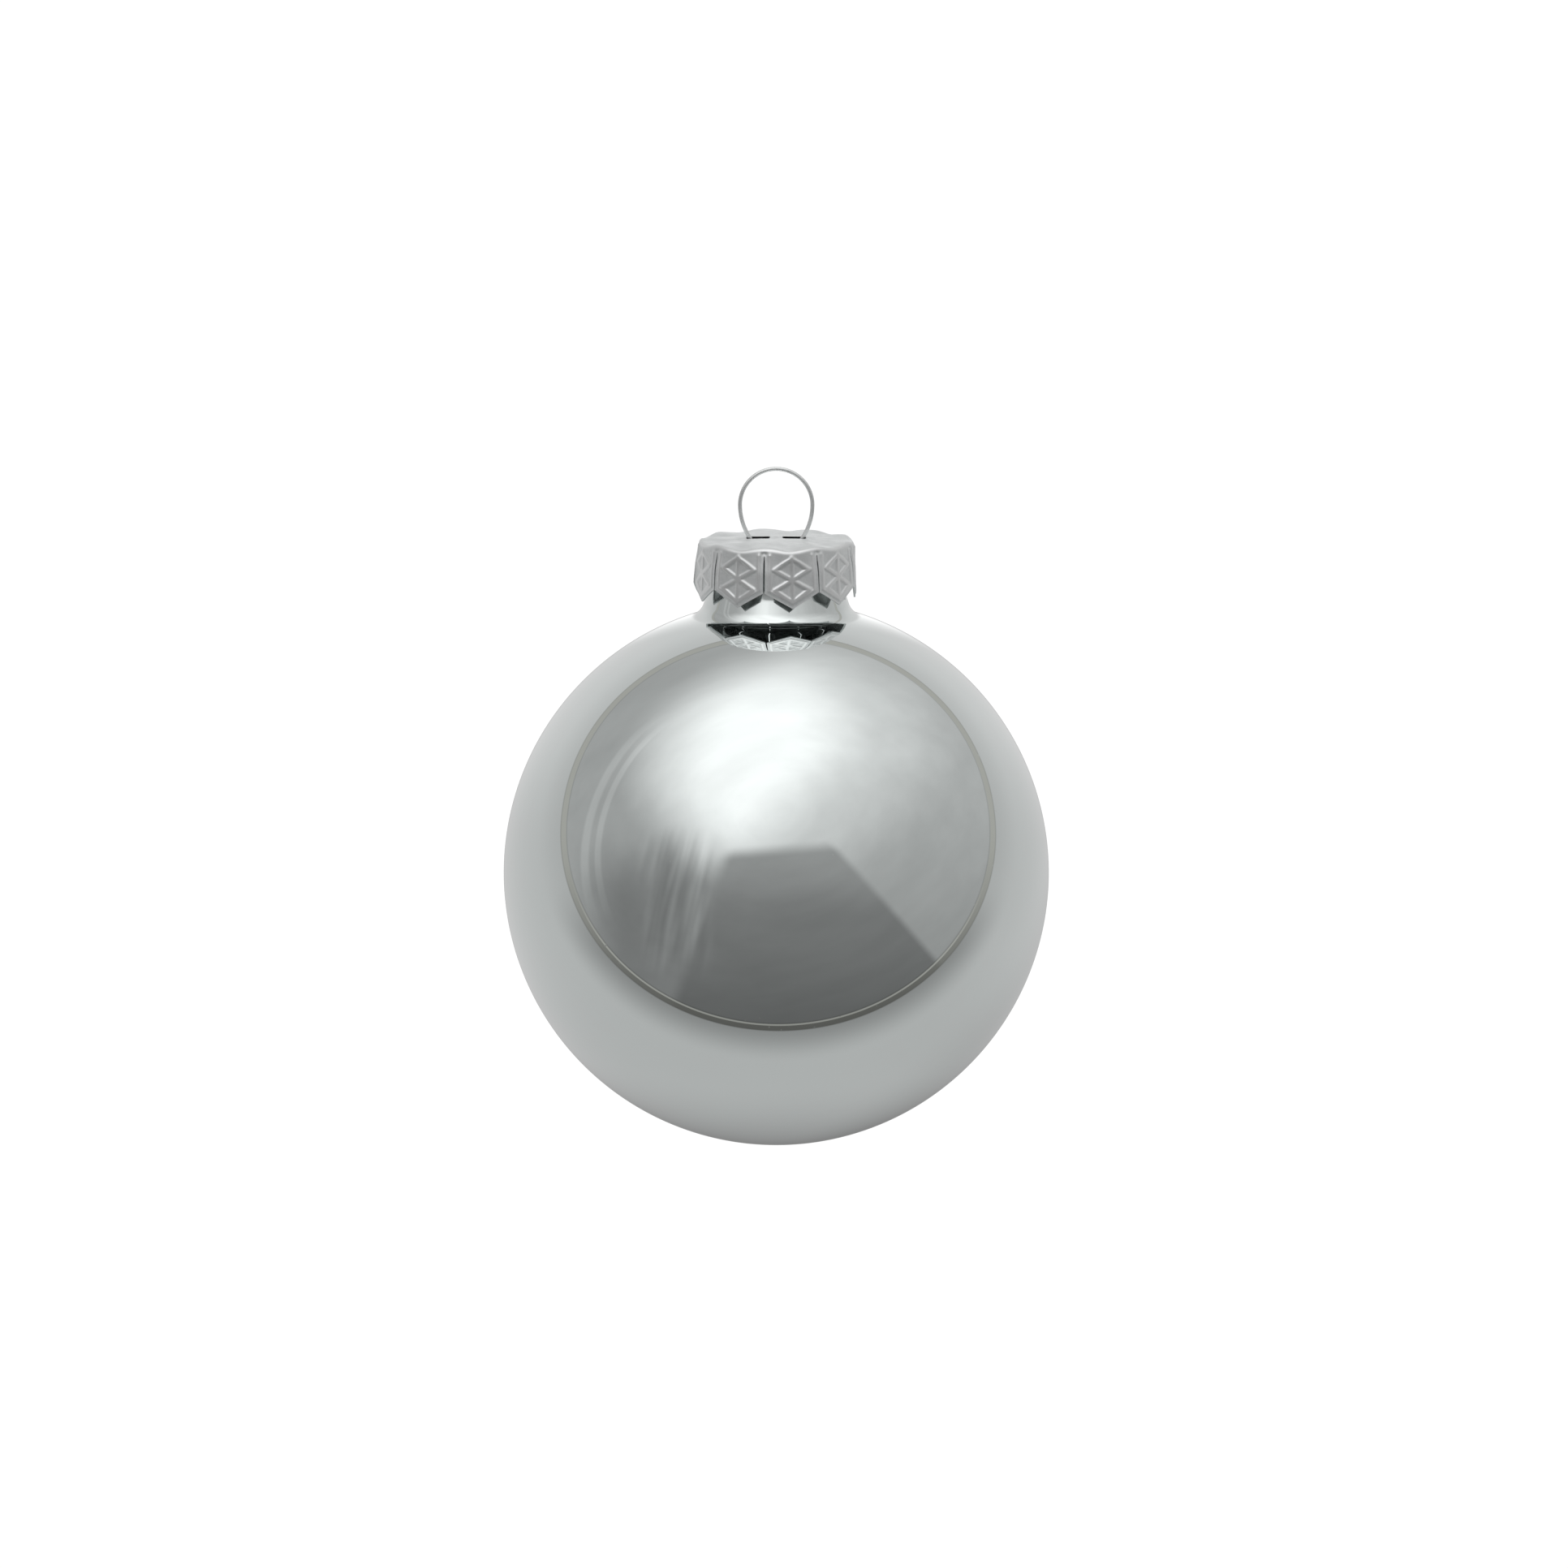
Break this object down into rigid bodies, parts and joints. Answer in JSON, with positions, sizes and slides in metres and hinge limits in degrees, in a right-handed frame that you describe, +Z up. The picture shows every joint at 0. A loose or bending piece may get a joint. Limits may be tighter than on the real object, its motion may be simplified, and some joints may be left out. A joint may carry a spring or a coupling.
{
  "type": "glass ball ornament",
  "caption": "Silvered blown glass ball with a stamped crown cap of embossed pointed petals and a spring wire loop to hang it by.",
  "frame": {"origin": "where a hook bears: the inside top of the wire loop, on the ball's vertical axis", "axes": "+Z up along the ball's axis, through the neck, cap and loop; the loop lies in the X-Z plane, and +Y is the way that a hook passes through it, with -Y the front"},
  "size_m": [0.067, 0.067, 0.0837],
  "materials": {
    "silvered_glass": "polished clear glass that shows the mirror film behind it",
    "silver_film": "bright mirror film, lacquered on its back",
    "stamped_aluminium": "satin, stamped and embossed thin sheet",
    "spring_wire": "drawn spring wire, semi-bright"
  },
  "bodies": {
    "hanger": {"hanger": "spring_wire"},
    "cap": {"cap": "stamped_aluminium"},
    "ball": {"glass_ball": "silvered_glass", "silver_lining": "silver_film"}
  },
  "joints": [
    {"name": "cap_tilt", "type": "hinge", "parent": "hanger", "child": "cap", "pos_m": [0, 0, -0.00826], "axis": [1, 0, 0], "range_deg": [-15, 15]},
    {"name": "cap_pull", "type": "slide", "parent": "cap", "child": "ball", "axis": [0, 0, -1], "range_m": [0, 0.018]}
  ]
}
